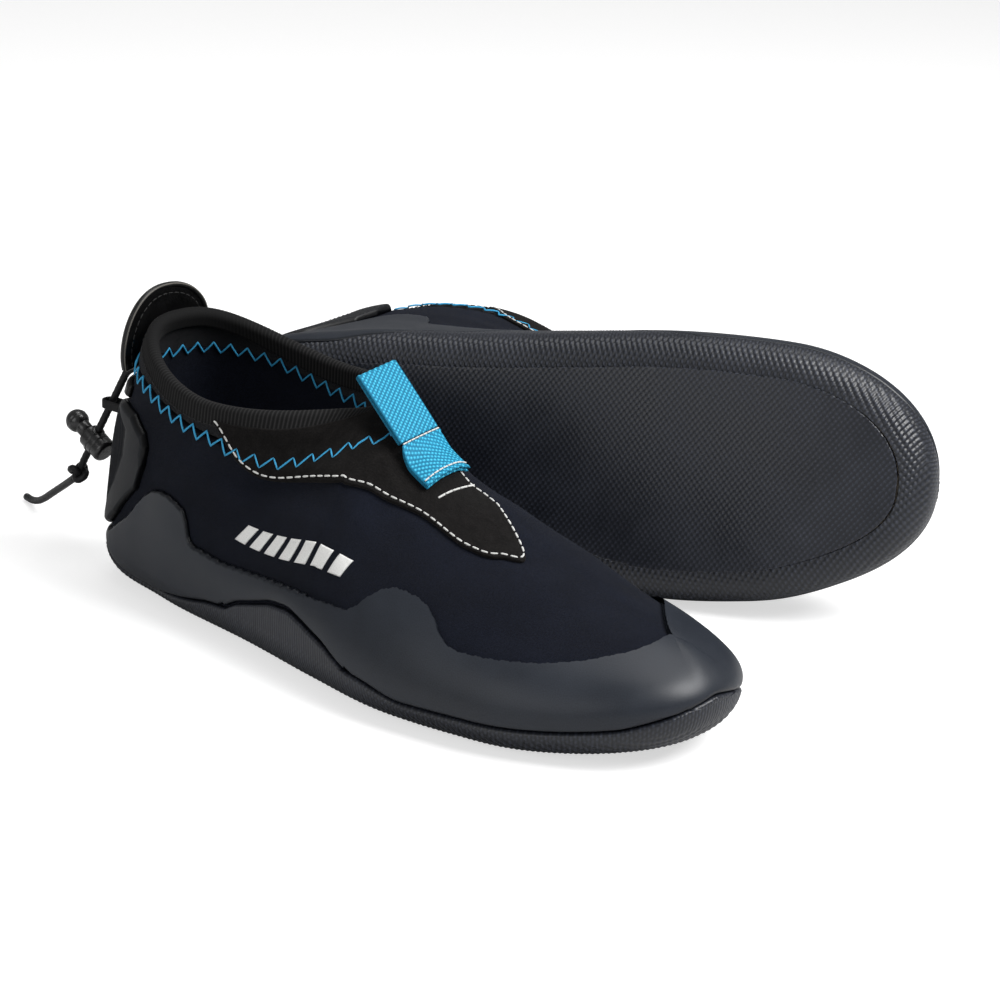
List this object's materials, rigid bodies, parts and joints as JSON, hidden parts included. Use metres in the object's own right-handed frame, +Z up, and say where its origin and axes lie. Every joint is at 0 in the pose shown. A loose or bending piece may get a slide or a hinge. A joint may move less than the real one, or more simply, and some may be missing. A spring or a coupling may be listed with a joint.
{
  "type": "neoprene water boots",
  "caption": "Low slip-on neoprene water boots with a wrapped rubber sole, scalloped rubber rand, instep pull loop, heel tab and an elastic drawcord with a spring cord lock.",
  "frame": {"origin": "on the right sole's flat face, under the middle of the boot", "axes": "+X towards the right boot's toe, +Y towards its inner side and the left boot, +Z up"},
  "size_m": [0.3616, 0.2398, 0.1123],
  "materials": {
    "sole_rubber": "fine diamond texture",
    "wrap_rubber": "fine ribbed texture",
    "board": "woven board",
    "foam": "fabric-topped foam",
    "rand_rubber": "smooth matt rubber",
    "counter_rubber": "ribbed matt rubber",
    "neoprene": "knitted jersey on foam",
    "overlay": "brushed microfibre",
    "collar_knit": "brushed stretch knit",
    "binding": "ribbed tape",
    "webbing": "woven webbing",
    "tab": "smooth grained",
    "piping": "piping",
    "print": "screen print",
    "cord": "braided sheath",
    "keeper": "tape",
    "lock": "moulded",
    "spring": "wire"
  },
  "bodies": {
    "right_boot": {"right_tread": "sole_rubber", "right_sole_wrap": "wrap_rubber", "right_lasting_board": "board", "right_footbed": "foam", "right_rand": "rand_rubber", "right_heel_counter": "counter_rubber", "right_upper": "neoprene", "right_instep_overlay": "overlay", "right_collar_band": "collar_knit", "right_collar_binding": "binding", "right_webbing_anchor": "webbing", "right_heel_tab_base": "tab", "right_side_print": "print", "right_ankle_cord": "cord", "right_drawcord": "cord", "right_cord_keeper": "keeper", "right_cord_knot": "cord"},
    "right_pull_loop": {"right_webbing_loop": "webbing"},
    "right_heel_pull": {"right_heel_tab": "tab", "right_heel_tab_edging": "piping"},
    "right_cord_lock": {"right_lock_barrel": "lock", "right_lock_spring": "spring"},
    "right_lock_button": {"right_lock_plunger": "lock"},
    "left_boot": {"left_tread": "sole_rubber", "left_sole_wrap": "wrap_rubber", "left_lasting_board": "board", "left_footbed": "foam", "left_rand": "rand_rubber", "left_heel_counter": "counter_rubber", "left_upper": "neoprene", "left_instep_overlay": "overlay", "left_collar_band": "collar_knit", "left_collar_binding": "binding", "left_webbing_anchor": "webbing", "left_heel_tab_base": "tab", "left_side_print": "print", "left_ankle_cord": "cord", "left_drawcord": "cord", "left_cord_keeper": "keeper", "left_cord_knot": "cord"},
    "left_pull_loop": {"left_webbing_loop": "webbing"},
    "left_heel_pull": {"left_heel_tab": "tab", "left_heel_tab_edging": "piping"},
    "left_cord_lock": {"left_lock_barrel": "lock", "left_lock_spring": "spring"},
    "left_lock_button": {"left_lock_plunger": "lock"}
  },
  "joints": [
    {"name": "left_boot_lift", "type": "slide", "parent": "right_boot", "child": "left_boot", "axis": [0, 0, 1], "range_m": [0, 0.15]},
    {"name": "right_pull_loop_flip", "type": "hinge", "parent": "right_boot", "child": "right_pull_loop", "pos_m": [0.009, -0.001, 0.0826], "axis": [0, 0.9903, 0.1392], "range_deg": [0, 140]},
    {"name": "right_heel_pull_bend", "type": "hinge", "parent": "right_boot", "child": "right_heel_pull", "pos_m": [-0.1299, 0.001, 0.08], "axis": [0, -1, 0], "range_deg": [-5, 50], "stiffness_Nm_per_rad": 0.05},
    {"name": "right_lock_slide", "type": "slide", "parent": "right_boot", "child": "right_cord_lock", "axis": [0.4846, 0.0646, 0.8723], "range_m": [-0.005, 0.009]},
    {"name": "right_lock_press", "type": "slide", "parent": "right_cord_lock", "child": "right_lock_button", "axis": [0.8742, 0, -0.4856], "range_m": [0, 0.0025], "stiffness_N_per_m": 600},
    {"name": "left_pull_loop_flip", "type": "hinge", "parent": "left_boot", "child": "left_pull_loop", "pos_m": [-0.02723, 0.17102, 0.04023], "axis": [0.1154, -0.3009, -0.9466], "range_deg": [0, 140]},
    {"name": "left_heel_pull_bend", "type": "hinge", "parent": "left_boot", "child": "left_heel_pull", "pos_m": [-0.1556, 0.11795, 0.04316], "axis": [-0.0657, 0.1755, 0.9823], "range_deg": [-5, 50], "stiffness_Nm_per_rad": 0.05},
    {"name": "left_lock_slide", "type": "slide", "parent": "left_boot", "child": "left_cord_lock", "axis": [0, 0, 1], "range_m": [-0.004, 0.003]},
    {"name": "left_lock_press", "type": "slide", "parent": "left_cord_lock", "child": "left_lock_button", "axis": [1, 0, 0], "range_m": [0, 0.0025], "stiffness_N_per_m": 600}
  ]
}
